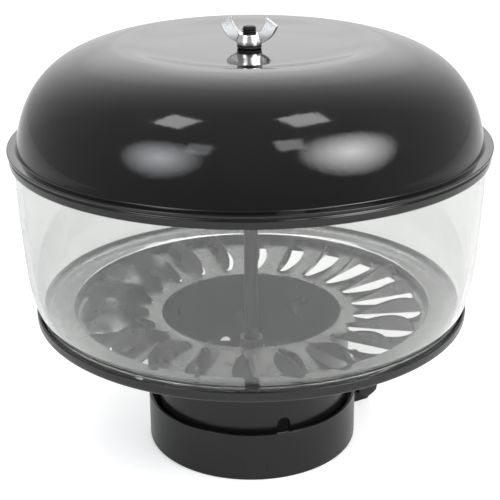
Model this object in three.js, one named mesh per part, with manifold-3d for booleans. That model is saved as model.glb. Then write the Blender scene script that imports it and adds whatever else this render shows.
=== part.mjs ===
// Engine air-intake pre-cleaner. A pressed-steel cover sits on a clear dust bowl, the bowl stands
// on a base of swirl vanes, and a slotted neck tube under the base clamps onto an intake pipe.
// A long centre stud and a wing nut hold the stack together.
// Millimetres, +Z up. The origin is the centre of the neck's bottom edge.

import * as THREE from "three";
import { mergeVertices } from "three/addons/utils/BufferGeometryUtils.js";
import Module from "manifold-3d";

const wasm = await Module();
wasm.setup();

// ---- Driving dimensions -------------------------------------------------------------------

const GAP = 0.3; // clearance kept between pieces that touch on the real object
const SHEET = 1.2; // thickness of the pressed steel
const AROUND = 48; // facets round the large turned pieces
const AROUND_SMALL = 16; // facets round the fasteners

// Neck tube, which slides over an 82 mm intake pipe
const NECK_OUTER_R = 43.3;
const NECK_INNER_R = 41.25;
const NECK_TOP = 58.1;
const SLOT_COUNT = 4;
const SLOT_WIDTH = 5.5;
const SLOT_ROUND_Z = 24; // centre of each slot's round end
const SLOT_AZIMUTH = -72;

// Swirl-vane ring. Each vane is a flap bent up out of its own opening along a radial line.
const VANE_COUNT = 22;
const VANE_AROUND = VANE_COUNT * 2;
const VANE_PITCH = 360 / VANE_COUNT;
const VANE_AZIMUTH = -6.3; // of the first vane's bend line
const VANE_INNER_R = 45.2;
const VANE_OUTER_R = 74.4;
const VANE_INNER_WIDTH = 4.5;
const VANE_OUTER_WIDTH = 6.5;
const VANE_TILT = 62; // degrees up from the plate
const VANE_EDGE_GAP = 0.4;
const HUB_HOLE_R = 39;
const HUB_R = 44.7;
const HUB_TOP = NECK_TOP + GAP + SHEET;
const VANE_FLANGE_INNER_R = 75;
const VANE_FLANGE_R = 82;
const VANE_FLANGE_TOP = 62;

// Base tray, whose upturned rim holds the bowl
const TRAY_INNER_R = 76.4;
const TRAY_FLOOR = VANE_FLANGE_TOP + GAP + SHEET;
const RIM_R = 93.2;
const RIM_TOP = 66.7;

// Clear bowl and its two gaskets
const BOWL_WALL = 2.4;
const BOWL_FOOT_R = 90.9;
const BOWL_TOP_R = 98.1;
const SEAL_THICK = 1.2;
const GASKET_THICK = 1.6;

// Cover
const SKIRT_Z = 133; // bottom edge of the cover's skirt
const SKIRT_R = 100;
const SKIRT_INNER_R = 98.5;
const GROOVE_R = 99.3;
const BRIM_R = 100.6;
const BRIM_TOP = SKIRT_Z + 5.6;
const DOME_R = 98.14;
const DOME_BASE = SKIRT_Z - 24.55; // level of the superellipse's centre
const DOME_HEIGHT = 72.57;
const DOME_ROUND_SIDE = 4.1; // superellipse powers
const DOME_ROUND_TOP = 3.33;
const DOME_FROM = 16; // degrees along the superellipse
const DOME_TO = 70.8;
const DISH_CENTRE = SKIRT_Z + 42.3; // the top dips a little towards the stud
const DISH_RIM_SLOPE = -0.15;

// Centre stud, its fixings and the wing nut
const STUD_R = 3;
const STUD_BORE_R = STUD_R + GAP + 0.05;
const STUD_BOTTOM = 27.5;
const STUD_TOP = SKIRT_Z + 51.2;
const BAR_BOTTOM = 36;
const BAR_THICK = 3;
const BAR_WIDTH = 20;
const BAR_TAB = 11;
const WASHER_R = 6;
const WASHER_THICK = 1.2;
const NUT_ACROSS_FLATS = 10;
const NUT_THICK = 5;
const SEAL_WASHER_R = 5.8;
const SEAL_WASHER_THICK = 0.9;
const WING_BOSS_R = 5.3;
const WING_BOSS_TOP_R = 4.3;
const WING_BOSS_HEIGHT = 4.4;
const WING_THICK = 2.3;
const WING_AZIMUTH = -20;

// Clamp band round the neck, shown loose as it is before fitting
const BAND_INNER_R = 45.3;
const BAND_OUTER_R = 46.6;
const BAND_HEIGHT = 21.5;
const BAND_AZIMUTH = 29;
const EAR_GAP = 8;
const EAR_REACH = 64;
const EAR_CORNER = 5;
const BOLT_RADIUS_FROM_AXIS = 56.8;
const BOLT_Z = 10.2;
const BOLT_LENGTH = 24;
const BOLT_HEAD = 4;

// ---- Shape helpers ------------------------------------------------------------------------

const radians = THREE.MathUtils.degToRad;

// A turned piece: a closed outline of [radius, height] points spun round Z.
function turned(outline, around = AROUND) {
  const points = outline.map(([r, z]) => new THREE.Vector2(r, z));
  if (THREE.ShapeUtils.area(points) < 0) {
    points.reverse();
  }
  if (outline.every(([r]) => r > 0)) {
    points.push(points[0].clone());
  }
  return new THREE.LatheGeometry(points, around).rotateX(Math.PI / 2);
}

// A plain ring or washer.
function ring(innerR, outerR, bottom, top, around = AROUND) {
  return turned([[innerR, bottom], [outerR, bottom], [outerR, top], [innerR, top]], around);
}

// A round bar standing on Z, for cutting bores and trimming ends.
function roundBar(radius, bottom, top, around = AROUND_SMALL) {
  return turned([[0, bottom], [radius, bottom], [radius, top], [0, top]], around);
}

// A flat outline in XY pushed up from bottom to top.
function plate(shape, bottom, top, curveSegments = 12) {
  const options = { depth: top - bottom, bevelEnabled: false, curveSegments };
  return new THREE.ExtrudeGeometry(shape, options).translate(0, 0, bottom);
}

function hexagon(acrossFlats) {
  const shape = new THREE.Shape();
  const cornerR = acrossFlats / Math.sqrt(3);
  for (let side = 0; side < 6; side++) {
    const angle = radians(60 * side);
    shape[side ? "lineTo" : "moveTo"](cornerR * Math.cos(angle), cornerR * Math.sin(angle));
  }
  shape.closePath();
  return shape;
}

// Points along a circular arc in the [radius, height] plane.
function arc(centreR, centreZ, radius, fromDegrees, toDegrees, steps) {
  const points = [];
  for (let step = 0; step <= steps; step++) {
    const angle = radians(fromDegrees + ((toDegrees - fromDegrees) * step) / steps);
    points.push([centreR + radius * Math.cos(angle), centreZ + radius * Math.sin(angle)]);
  }
  return points;
}

// ---- Joining and cutting ------------------------------------------------------------------

function solid(geometry) {
  const bare = geometry.clone();
  bare.deleteAttribute("normal");
  bare.deleteAttribute("uv");
  const merged = mergeVertices(bare, 1e-4);
  return new wasm.Manifold(new wasm.Mesh({
    numProp: 3,
    vertProperties: Float32Array.from(merged.attributes.position.array),
    triVerts: Uint32Array.from(merged.index.array),
  }));
}

function geometryOf(manifold) {
  const mesh = manifold.getMesh();
  const geometry = new THREE.BufferGeometry();
  geometry.setAttribute("position", new THREE.BufferAttribute(Float32Array.from(mesh.vertProperties), 3));
  geometry.setIndex(new THREE.BufferAttribute(Uint32Array.from(mesh.triVerts), 1));
  geometry.computeVertexNormals();
  return geometry;
}

function join(...geometries) {
  return geometryOf(geometries.map(solid).reduce((whole, piece) => whole.add(piece)));
}

function cut(geometry, ...cutters) {
  return geometryOf(cutters.map(solid).reduce((whole, cutter) => whole.subtract(cutter), solid(geometry)));
}

function overlapOf(first, second) {
  return geometryOf(solid(first).intersect(solid(second)));
}

// ---- Cover --------------------------------------------------------------------------------

// The dome's side is a superellipse. Inset moves it inwards for the inner face.
function domeSide(inset, steps) {
  const points = [];
  for (let step = 0; step <= steps; step++) {
    const angle = radians(DOME_FROM + ((DOME_TO - DOME_FROM) * step) / steps);
    const across = Math.cos(angle) ** (2 / DOME_ROUND_SIDE);
    const up = Math.sin(angle) ** (2 / DOME_ROUND_TOP);
    points.push([(DOME_R - inset) * across, DOME_BASE + (DOME_HEIGHT - inset) * up]);
  }
  return points;
}

// The dished top runs from the end of the side in to the stud hole as one smooth cubic.
function domeTop([rimR, rimZ], inset, steps) {
  const points = [];
  for (let step = 1; step <= steps; step++) {
    const r = STUD_BORE_R + ((rimR - STUD_BORE_R) * (steps - step)) / steps;
    const t = r / rimR;
    const rise = t * t * (3 - 2 * t);
    const lean = DISH_RIM_SLOPE * rimR * t * t * (t - 1);
    points.push([r, (DISH_CENTRE - inset) * (1 - rise) + rimZ * rise + lean]);
  }
  return points;
}

function domeFace(inset) {
  const side = domeSide(inset, 7);
  return [...side, ...domeTop(side.at(-1), inset, 4)];
}

function coverGeometry() {
  const brimUnderside = BRIM_TOP - SHEET;
  const outside = [
    [SKIRT_INNER_R, SKIRT_Z],
    ...arc(SKIRT_R - 0.8, SKIRT_Z + 0.8, 0.8, -90, 0, 2),
    [SKIRT_R, SKIRT_Z + 3.2],
    [GROOVE_R, SKIRT_Z + 4],
    [BRIM_R - 0.3, SKIRT_Z + 4.4],
    [BRIM_R, BRIM_TOP - 0.6],
    [BRIM_R - 0.5, BRIM_TOP],
    [DOME_R - 0.4, BRIM_TOP],
    ...domeFace(0),
  ];
  const inside = [
    [SKIRT_INNER_R, brimUnderside],
    [DOME_R - 2 * SHEET, brimUnderside],
    ...domeFace(SHEET),
  ];
  return turned([...outside, ...inside.reverse()]);
}

function coverGasketGeometry() {
  const top = BRIM_TOP - SHEET - GAP;
  return ring(BOWL_TOP_R - BOWL_WALL, BOWL_TOP_R, top - GASKET_THICK, top);
}

// ---- Bowl ---------------------------------------------------------------------------------

const BOWL_BOTTOM = TRAY_FLOOR + SEAL_THICK + 2 * GAP;
const BOWL_TOP = BRIM_TOP - SHEET - GASKET_THICK - 2 * GAP;

// The wall swells out quickly above the foot, then leans out gently to the top.
function bowlWall(inset) {
  const curve = new THREE.SplineCurve([
    new THREE.Vector2(BOWL_FOOT_R - inset, BOWL_BOTTOM),
    new THREE.Vector2(BOWL_FOOT_R + 0.7 - inset, BOWL_BOTTOM + 3),
    new THREE.Vector2(BOWL_FOOT_R + 2.6 - inset, BOWL_BOTTOM + 7),
    new THREE.Vector2(BOWL_FOOT_R + 4.8 - inset, BOWL_BOTTOM + 18),
    new THREE.Vector2(BOWL_TOP_R - 0.6 - inset, BOWL_BOTTOM + 46),
    new THREE.Vector2(BOWL_TOP_R - inset, BOWL_TOP),
  ]);
  return curve.getPoints(9).map((point) => [point.x, point.y]);
}

function bowlGeometry() {
  return turned([...bowlWall(0), ...bowlWall(BOWL_WALL).reverse()]);
}

function bowlSealGeometry() {
  const bottom = TRAY_FLOOR + GAP;
  return ring(BOWL_FOOT_R - BOWL_WALL, BOWL_FOOT_R, bottom, bottom + SEAL_THICK);
}

// ---- Base tray and vane ring --------------------------------------------------------------

function baseTrayGeometry() {
  const floorBottom = TRAY_FLOOR - SHEET;
  const rimInnerR = RIM_R - SHEET;
  return turned([
    [TRAY_INNER_R, floorBottom],
    [RIM_R - 1, floorBottom],
    [RIM_R - 0.3, floorBottom + 0.7],
    [RIM_R, TRAY_FLOOR + 1],
    [RIM_R - 0.3, RIM_TOP - 0.4],
    [RIM_R - 0.7, RIM_TOP],
    [rimInnerR, RIM_TOP],
    [rimInnerR - 0.1, TRAY_FLOOR + 1],
    [rimInnerR - 1, TRAY_FLOOR],
    [TRAY_INNER_R + 3, TRAY_FLOOR],
    ...arc(TRAY_INNER_R + 1.3, TRAY_FLOOR - 0.2, 1.3, 30, 180, 4),
  ]);
}

// The leaf-shaped outline of an opening, or of its vane laid flat. X runs outwards along the bend,
// the free edge lies on -Y, and the root is how far the outline passes the bend on +Y.
function vaneOutline(inset, root) {
  const shape = new THREE.Shape();
  const innerR = VANE_INNER_R + inset;
  const outerR = VANE_OUTER_R - inset;
  shape.moveTo(outerR, root);
  shape.lineTo(innerR, root);
  shape.lineTo(innerR, inset - VANE_INNER_WIDTH);
  shape.bezierCurveTo(
    VANE_INNER_R + 5, inset - 2 * VANE_INNER_WIDTH,
    VANE_OUTER_R - 5, inset - 2 * VANE_OUTER_WIDTH,
    outerR, inset - VANE_OUTER_WIDTH,
  );
  shape.closePath();
  return shape;
}

function vaneOpening() {
  return plate(vaneOutline(0, 0), HUB_TOP - 5, VANE_FLANGE_TOP + 5, 5);
}

function vaneBlade() {
  const slope = Math.atan2(VANE_FLANGE_TOP - HUB_TOP, VANE_FLANGE_INNER_R - HUB_R);
  return plate(vaneOutline(VANE_EDGE_GAP, SHEET / 2), -SHEET / 2, SHEET / 2, 5)
    .translate(-HUB_R, 0, 0)
    .rotateX(-radians(VANE_TILT))
    .rotateY(-slope)
    .translate(HUB_R, 0, HUB_TOP - SHEET / 2);
}

function vaneRingGeometry() {
  let whole = solid(turned([
    [HUB_HOLE_R, HUB_TOP - SHEET],
    [HUB_R, HUB_TOP - SHEET],
    [VANE_FLANGE_INNER_R, VANE_FLANGE_TOP - SHEET],
    [VANE_FLANGE_R, VANE_FLANGE_TOP - SHEET],
    [VANE_FLANGE_R, VANE_FLANGE_TOP],
    [VANE_FLANGE_INNER_R, VANE_FLANGE_TOP],
    [HUB_R, HUB_TOP],
    [HUB_HOLE_R + 0.5, HUB_TOP],
    [HUB_HOLE_R, HUB_TOP - 0.5],
  ], VANE_AROUND));
  for (let vane = 0; vane < VANE_COUNT; vane++) {
    const azimuth = radians(VANE_AZIMUTH + vane * VANE_PITCH);
    whole = whole.subtract(solid(vaneOpening().rotateZ(azimuth)));
    whole = whole.add(solid(vaneBlade().rotateZ(azimuth)));
  }
  return geometryOf(whole);
}

// ---- Neck and the bar that carries the stud -----------------------------------------------

function neckGeometry() {
  const tube = ring(NECK_INNER_R, NECK_OUTER_R, 0, NECK_TOP);
  const shape = new THREE.Shape();
  shape.moveTo(-SLOT_WIDTH / 2, -1);
  shape.lineTo(SLOT_WIDTH / 2, -1);
  shape.lineTo(SLOT_WIDTH / 2, SLOT_ROUND_Z);
  shape.absarc(0, SLOT_ROUND_Z, SLOT_WIDTH / 2, 0, Math.PI, false);
  shape.closePath();
  const slots = [];
  for (let slot = 0; slot < SLOT_COUNT; slot++) {
    const azimuth = radians(SLOT_AZIMUTH + (360 * slot) / SLOT_COUNT);
    const cutter = plate(shape, NECK_INNER_R - 3, NECK_OUTER_R + 3, 8);
    slots.push(cutter.rotateX(Math.PI / 2).rotateZ(azimuth + Math.PI / 2));
  }
  return cut(tube, ...slots);
}

function studBarGeometry() {
  const length = 2 * NECK_INNER_R;
  const bar = new THREE.BoxGeometry(length, BAR_WIDTH, BAR_THICK)
    .translate(0, 0, BAR_BOTTOM + BAR_THICK / 2);
  const tabs = [-1, 1].map((side) => new THREE.BoxGeometry(2 * BAR_THICK, BAR_WIDTH, BAR_TAB)
    .translate(side * (NECK_INNER_R - 1.5 * BAR_THICK), 0, BAR_BOTTOM + BAR_TAB / 2));
  const trim = roundBar(NECK_INNER_R - GAP - 0.1, 0, NECK_TOP, AROUND);
  const bore = roundBar(STUD_BORE_R, 0, NECK_TOP);
  return cut(overlapOf(join(bar, ...tabs), trim), bore);
}

// ---- Fasteners ----------------------------------------------------------------------------

function hexNut(boreR, bottom) {
  const nut = plate(hexagon(NUT_ACROSS_FLATS), bottom, bottom + NUT_THICK);
  return cut(nut, roundBar(boreR, bottom - 1, bottom + NUT_THICK + 1));
}

function washerAt(bottom) {
  return ring(STUD_BORE_R, WASHER_R, bottom, bottom + WASHER_THICK, AROUND_SMALL);
}

function studGeometry() {
  return turned([
    [0, STUD_BOTTOM],
    [STUD_R - 0.6, STUD_BOTTOM],
    [STUD_R, STUD_BOTTOM + 0.6],
    [STUD_R, STUD_TOP - 1.6],
    [STUD_R - 0.8, STUD_TOP - 0.5],
    [0, STUD_TOP],
  ], AROUND_SMALL);
}

const SEAL_WASHER_BOTTOM = DISH_CENTRE + GAP;
const WING_BOTTOM = SEAL_WASHER_BOTTOM + SEAL_WASHER_THICK + GAP;

function sealWasherGeometry() {
  const top = SEAL_WASHER_BOTTOM + SEAL_WASHER_THICK;
  return ring(STUD_BORE_R, SEAL_WASHER_R, SEAL_WASHER_BOTTOM, top, AROUND_SMALL);
}

// One wing: a bar that curves up and out from the boss, drawn in XZ.
function wing() {
  const shape = new THREE.Shape();
  shape.moveTo(3.6, 0.5);
  shape.quadraticCurveTo(9.6, 1.2, 12.1, 8);
  shape.lineTo(11.9, 8.7);
  shape.lineTo(7.5, 11.2);
  shape.lineTo(6.8, 10.9);
  shape.quadraticCurveTo(5.6, 5.2, 3.6, 3.4);
  shape.closePath();
  return plate(shape, -WING_THICK / 2, WING_THICK / 2, 5).rotateX(Math.PI / 2);
}

function wingNutGeometry() {
  const boss = turned([
    [0, 0],
    [WING_BOSS_R, 0],
    [WING_BOSS_R, 1.2],
    [WING_BOSS_TOP_R, WING_BOSS_HEIGHT],
    [0, WING_BOSS_HEIGHT],
  ], AROUND_SMALL);
  const body = join(boss, wing(), wing().rotateZ(Math.PI));
  return cut(body, roundBar(STUD_BORE_R, -1, WING_BOSS_HEIGHT + 1))
    .rotateZ(radians(WING_AZIMUTH))
    .translate(0, 0, WING_BOTTOM);
}

// ---- Clamp --------------------------------------------------------------------------------

// The clamp is drawn with its bolt side on +X; the group that holds it turns it into place.
const EAR_THICK = BAND_OUTER_R - BAND_INNER_R;
const EAR_INSIDE = EAR_GAP / 2;
const EAR_OUTSIDE = EAR_INSIDE + EAR_THICK;

function clampBandGeometry() {
  const innerStart = Math.asin(EAR_INSIDE / BAND_INNER_R);
  const outerStart = Math.asin(EAR_OUTSIDE / BAND_OUTER_R);
  const shape = new THREE.Shape();
  shape.absarc(0, 0, BAND_INNER_R, innerStart, 2 * Math.PI - innerStart, false);
  shape.lineTo(EAR_REACH, -EAR_INSIDE);
  shape.lineTo(EAR_REACH, -EAR_OUTSIDE);
  shape.absarc(0, 0, BAND_OUTER_R, 2 * Math.PI - outerStart, outerStart, true);
  shape.lineTo(EAR_REACH, EAR_OUTSIDE);
  shape.lineTo(EAR_REACH, EAR_INSIDE);
  shape.closePath();
  const band = plate(shape, 0, BAND_HEIGHT, AROUND - 8);
  const corners = [0, BAND_HEIGHT].map((z) => new THREE.BoxGeometry(EAR_CORNER, 4 * EAR_GAP, EAR_CORNER)
    .rotateY(Math.PI / 4)
    .translate(EAR_REACH, 0, z));
  return cut(band, ...corners, acrossEars(roundBar(STUD_BORE_R, -EAR_GAP * 2, EAR_GAP * 2)));
}

// Turns a fastener drawn on Z, head end up, onto the bolt's line with its head towards -Y.
function acrossEars(geometry) {
  return geometry.rotateX(Math.PI / 2).translate(BOLT_RADIUS_FROM_AXIS, 0, BOLT_Z);
}

const BOLT_HEAD_UNDERSIDE = EAR_OUTSIDE + WASHER_THICK + 2 * GAP;

function clampBoltGeometry() {
  const head = plate(hexagon(NUT_ACROSS_FLATS), BOLT_HEAD_UNDERSIDE, BOLT_HEAD_UNDERSIDE + BOLT_HEAD);
  const end = BOLT_HEAD_UNDERSIDE - BOLT_LENGTH;
  const shank = turned([
    [0, end],
    [STUD_R - 0.6, end],
    [STUD_R, end + 0.6],
    [STUD_R, BOLT_HEAD_UNDERSIDE + 1],
    [0, BOLT_HEAD_UNDERSIDE + 1],
  ], AROUND_SMALL);
  return acrossEars(join(head, shank));
}

function clampWasherGeometry() {
  return acrossEars(washerAt(EAR_OUTSIDE + GAP));
}

function clampNutWasherGeometry() {
  return acrossEars(washerAt(-EAR_OUTSIDE - GAP - WASHER_THICK));
}

function clampNutGeometry() {
  return acrossEars(hexNut(STUD_BORE_R, -EAR_OUTSIDE - 2 * GAP - WASHER_THICK - NUT_THICK));
}

// ---- Materials ----------------------------------------------------------------------------

const FINISHES = {
  gloss_black: { color: 0x1b1b1c, roughness: 0.16, metalness: 0 },
  satin_black: { color: 0x2c2c2d, roughness: 0.4, metalness: 0 },
  clear_plastic: { color: 0xf2f4f2, roughness: 0.05, metalness: 0, transparent: true, opacity: 0.3 },
  black_rubber: { color: 0x151515, roughness: 0.85, metalness: 0 },
  zinc: { color: 0xc9cacb, roughness: 0.28, metalness: 1 },
  dark_steel: { color: 0x38383a, roughness: 0.45, metalness: 0.8 },
};

function named(name, geometry, finish) {
  const mesh = new THREE.Mesh(geometry, new THREE.MeshStandardMaterial(FINISHES[finish]));
  mesh.name = name;
  return mesh;
}

// ---- Assembly -----------------------------------------------------------------------------

const coverGroup = new THREE.Group();
coverGroup.add(
  named("cover", coverGeometry(), "gloss_black"),
  named("cover_gasket", coverGasketGeometry(), "black_rubber"),
  named("seal_washer", sealWasherGeometry(), "black_rubber"),
  named("wing_nut", wingNutGeometry(), "zinc"),
);

const bowlGroup = new THREE.Group();
bowlGroup.add(
  named("bowl", bowlGeometry(), "clear_plastic"),
  named("bowl_seal", bowlSealGeometry(), "black_rubber"),
);

const barTop = BAR_BOTTOM + BAR_THICK;
const baseGroup = new THREE.Group();
baseGroup.add(
  named("base_tray", baseTrayGeometry(), "satin_black"),
  named("vane_ring", vaneRingGeometry(), "satin_black"),
  named("neck_tube", neckGeometry(), "satin_black"),
  named("stud_bar", studBarGeometry(), "satin_black"),
  named("centre_stud", studGeometry(), "dark_steel"),
  named("stud_upper_washer", washerAt(barTop + GAP), "zinc"),
  named("stud_upper_nut", hexNut(STUD_BORE_R, barTop + 2 * GAP + WASHER_THICK), "zinc"),
  named("stud_lower_washer", washerAt(BAR_BOTTOM - GAP - WASHER_THICK), "zinc"),
  named("stud_lower_nut", hexNut(STUD_BORE_R, BAR_BOTTOM - 2 * GAP - WASHER_THICK - NUT_THICK), "zinc"),
);

const clampGroup = new THREE.Group();
clampGroup.rotation.z = radians(BAND_AZIMUTH);
clampGroup.add(
  named("clamp_band", clampBandGeometry(), "satin_black"),
  named("clamp_bolt", clampBoltGeometry(), "dark_steel"),
  named("clamp_bolt_washer", clampWasherGeometry(), "dark_steel"),
  named("clamp_nut_washer", clampNutWasherGeometry(), "dark_steel"),
  named("clamp_nut", clampNutGeometry(), "dark_steel"),
);

const group = new THREE.Group();
group.add(baseGroup, bowlGroup, coverGroup, clampGroup);

export default group;
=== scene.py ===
"""Looks for the air-intake pre-cleaner: every CAD node gets a detailed mesh and a procedural material.

Shapes are written in millimetres in the row frame. make_piece turns them into metres.
"""

import math

import bmesh
import bpy
from mathutils import Matrix, Vector


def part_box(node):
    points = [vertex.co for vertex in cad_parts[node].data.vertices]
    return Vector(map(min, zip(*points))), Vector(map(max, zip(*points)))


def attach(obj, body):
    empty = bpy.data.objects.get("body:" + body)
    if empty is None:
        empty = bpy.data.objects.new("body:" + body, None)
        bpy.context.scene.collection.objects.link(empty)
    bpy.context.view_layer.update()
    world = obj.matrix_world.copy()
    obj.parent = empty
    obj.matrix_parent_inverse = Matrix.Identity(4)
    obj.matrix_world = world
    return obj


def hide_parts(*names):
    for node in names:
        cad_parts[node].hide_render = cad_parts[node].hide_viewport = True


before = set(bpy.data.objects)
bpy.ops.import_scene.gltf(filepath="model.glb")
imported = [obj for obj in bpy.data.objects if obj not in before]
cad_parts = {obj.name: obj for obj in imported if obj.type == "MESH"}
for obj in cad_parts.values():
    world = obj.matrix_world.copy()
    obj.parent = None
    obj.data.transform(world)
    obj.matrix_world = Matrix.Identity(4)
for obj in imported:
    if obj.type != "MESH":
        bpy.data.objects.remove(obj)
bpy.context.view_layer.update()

MM = 0.001


# ---- Places taken from the CAD ------------------------------------------------------------

def span(node):
    """A CAD node's box in millimetres, as (lowest corner, highest corner)."""
    low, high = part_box(node)
    return low / MM, high / MM


def outer_radius(node):
    return span(node)[1].x


SHEET = 1.2  # thickness of the pressed steel
SMOOTH_AROUND = 192  # facets round the large turned pieces
FINE_AROUND = 48  # facets round the fasteners

NECK_R = outer_radius("neck_tube")
NECK_WALL = 2.05
NECK_TOP = span("neck_tube")[1].z
TRAY_R = outer_radius("base_tray")
TRAY_BOTTOM = span("base_tray")[0].z
TRAY_TOP = span("base_tray")[1].z
BOWL_BOTTOM = span("bowl")[0].z
BOWL_TOP = span("bowl")[1].z
BOWL_R = outer_radius("bowl")
SKIRT_Z = span("cover")[0].z
BRIM_R = outer_radius("cover")
STUD_BOTTOM = span("centre_stud")[0].z
STUD_TOP = span("centre_stud")[1].z
STUD_R = 3  # an M6 thread, as on the clamp bolt
STUD_BORE_R = 3.35  # of every nut, washer and hole on an M6 thread
WING_BOTTOM = span("wing_nut")[0].z
BAND_HEIGHT = span("clamp_band")[1].z


# ---- Materials ----------------------------------------------------------------------------

def new_material(name):
    """A material with its node tree's nodes and links, and its Principled shader."""
    material = bpy.data.materials.new(name)
    material.use_nodes = True
    tree = material.node_tree
    return material, tree.nodes, tree.links, tree.nodes["Principled BSDF"]


def object_noise(nodes, links, feature_mm, detail=3, stretch=(1, 1, 1)):
    """Noise that stays fixed to the object, with features about feature_mm across."""
    place = nodes.new("ShaderNodeTexCoord")
    mapping = nodes.new("ShaderNodeMapping")
    mapping.inputs["Scale"].default_value = stretch
    noise = nodes.new("ShaderNodeTexNoise")
    noise.inputs["Scale"].default_value = 1 / (feature_mm * MM)
    noise.inputs["Detail"].default_value = detail
    links.new(place.outputs["Object"], mapping.inputs["Vector"])
    links.new(mapping.outputs["Vector"], noise.inputs["Vector"])
    return noise.outputs["Fac"]


def remap(nodes, links, value, low, high, start=0.3, end=0.7):
    """The value from start to end spread over low to high."""
    spread = nodes.new("ShaderNodeMapRange")
    spread.inputs["From Min"].default_value = start
    spread.inputs["From Max"].default_value = end
    spread.inputs["To Min"].default_value = low
    spread.inputs["To Max"].default_value = high
    links.new(value, spread.inputs["Value"])
    return spread.outputs["Result"]


def tint(nodes, links, value, dark, light):
    """A colour between dark and light."""
    mix = nodes.new("ShaderNodeMix")
    mix.data_type = "RGBA"
    mix.inputs["A"].default_value = (*dark, 1)
    mix.inputs["B"].default_value = (*light, 1)
    links.new(value, mix.inputs["Factor"])
    return mix.outputs["Result"]


def add_bump(nodes, links, shader, layers):
    """Bump from several (height value, depth in mm) layers."""
    normal = None
    for height, depth_mm in layers:
        bump = nodes.new("ShaderNodeBump")
        bump.inputs["Strength"].default_value = 1
        bump.inputs["Distance"].default_value = depth_mm * MM
        links.new(height, bump.inputs["Height"])
        if normal:
            links.new(normal, bump.inputs["Normal"])
        normal = bump.outputs["Normal"]
    links.new(normal, shader.inputs["Normal"])


def enamel(name, dark, light, gloss, ripple_mm, grain_mm, refraction=1.43):
    """Stoved black enamel: (smoothest, roughest) gloss with an orange-peel ripple and a fine grain."""
    material, nodes, links, shader = new_material(name)
    smudge = object_noise(nodes, links, 14)
    ripple = object_noise(nodes, links, 3.2, detail=1)
    grain = object_noise(nodes, links, 0.5, detail=2)
    links.new(tint(nodes, links, smudge, dark, light), shader.inputs["Base Color"])
    links.new(remap(nodes, links, smudge, *gloss), shader.inputs["Roughness"])
    shader.inputs["IOR"].default_value = refraction
    add_bump(nodes, links, shader, [(ripple, ripple_mm), (grain, grain_mm)])
    return material


def polished_metal(name, dark, light, gloss, grain_mm):
    """Bare or plated steel with cloudy colour, uneven gloss and fine tool marks."""
    material, nodes, links, shader = new_material(name)
    cloud = object_noise(nodes, links, 2.5)
    marks = object_noise(nodes, links, 0.35)
    links.new(tint(nodes, links, cloud, dark, light), shader.inputs["Base Color"])
    links.new(remap(nodes, links, marks, *gloss), shader.inputs["Roughness"])
    shader.inputs["Metallic"].default_value = 1
    add_bump(nodes, links, shader, [(cloud, grain_mm * 4), (marks, grain_mm)])
    return material


def rubber(name, dark, light):
    """Matt rubber with a cloudy bloom and fine pores."""
    material, nodes, links, shader = new_material(name)
    bloom = object_noise(nodes, links, 3)
    pores = object_noise(nodes, links, 0.3)
    links.new(tint(nodes, links, bloom, dark, light), shader.inputs["Base Color"])
    links.new(remap(nodes, links, pores, 0.6, 0.85), shader.inputs["Roughness"])
    add_bump(nodes, links, shader, [(pores, 0.03)])
    return material


def clear_plastic(name):
    """Clear moulded polycarbonate with a faint haze. It casts almost no shadow."""
    material, nodes, links, shader = new_material(name)
    flow = object_noise(nodes, links, 30, detail=1, stretch=(1, 1, 0.4))
    haze_cloud = object_noise(nodes, links, 9)
    shader.inputs["Base Color"].default_value = (0.82, 0.83, 0.815, 1)
    shader.inputs["IOR"].default_value = 1.585
    shader.inputs["Transmission Weight"].default_value = 1
    links.new(remap(nodes, links, haze_cloud, 0.01, 0.03), shader.inputs["Roughness"])
    add_bump(nodes, links, shader, [(flow, 0.06)])
    haze = nodes.new("ShaderNodeBsdfTranslucent")
    haze.inputs["Color"].default_value = (0.93, 0.94, 0.95, 1)
    milky = nodes.new("ShaderNodeMixShader")
    links.new(remap(nodes, links, haze_cloud, 0.015, 0.03), milky.inputs["Fac"])
    links.new(shader.outputs["BSDF"], milky.inputs[1])
    links.new(haze.outputs["BSDF"], milky.inputs[2])
    open_to_light = nodes.new("ShaderNodeBsdfTransparent")
    open_to_light.inputs["Color"].default_value = (0.93, 0.94, 0.93, 1)
    rays = nodes.new("ShaderNodeLightPath")
    either = nodes.new("ShaderNodeMixShader")
    links.new(rays.outputs["Is Shadow Ray"], either.inputs["Fac"])
    links.new(milky.outputs["Shader"], either.inputs[1])
    links.new(open_to_light.outputs["BSDF"], either.inputs[2])
    links.new(either.outputs["Shader"], nodes["Material Output"].inputs["Surface"])
    return material


GLOSS_BLACK = enamel(
    "gloss_black_enamel", (0.003, 0.003, 0.003), (0.005, 0.0048, 0.0045),
    gloss=(0.05, 0.10), ripple_mm=0.02, grain_mm=0.0008,
)
# A lighter copy of the satin black for the vane ring: its paler colour is painted sheen, for the backdrop's
# light that the vanes catch. Its higher refraction index gives it a real, stronger reflection.
SATIN_BLACK_PAINTED_SHEEN = enamel(
    "satin_black_painted_sheen_enamel", (0.012, 0.012, 0.011), (0.02, 0.02, 0.018),
    gloss=(0.2, 0.32), ripple_mm=0.012, grain_mm=0.001, refraction=1.78,
)
SATIN_BLACK = enamel(
    "satin_black_enamel", (0.005, 0.005, 0.005), (0.008, 0.008, 0.008),
    gloss=(0.2, 0.28), ripple_mm=0.012, grain_mm=0.001,
)
ZINC = polished_metal(
    "bright_zinc", (0.62, 0.62, 0.61), (0.82, 0.82, 0.83), gloss=(0.12, 0.3), grain_mm=0.01,
)
DARK_STEEL = polished_metal(
    "black_oxide_steel", (0.035, 0.035, 0.037), (0.08, 0.08, 0.08), gloss=(0.25, 0.45), grain_mm=0.008,
)
DULL_ZINC = polished_metal(
    "dull_zinc", (0.1, 0.1, 0.1), (0.2, 0.2, 0.19), gloss=(0.4, 0.6), grain_mm=0.01,
)
DULL_STEEL = polished_metal(
    "dull_steel", (0.01, 0.01, 0.01), (0.03, 0.03, 0.03), gloss=(0.35, 0.55), grain_mm=0.008,
)
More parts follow.
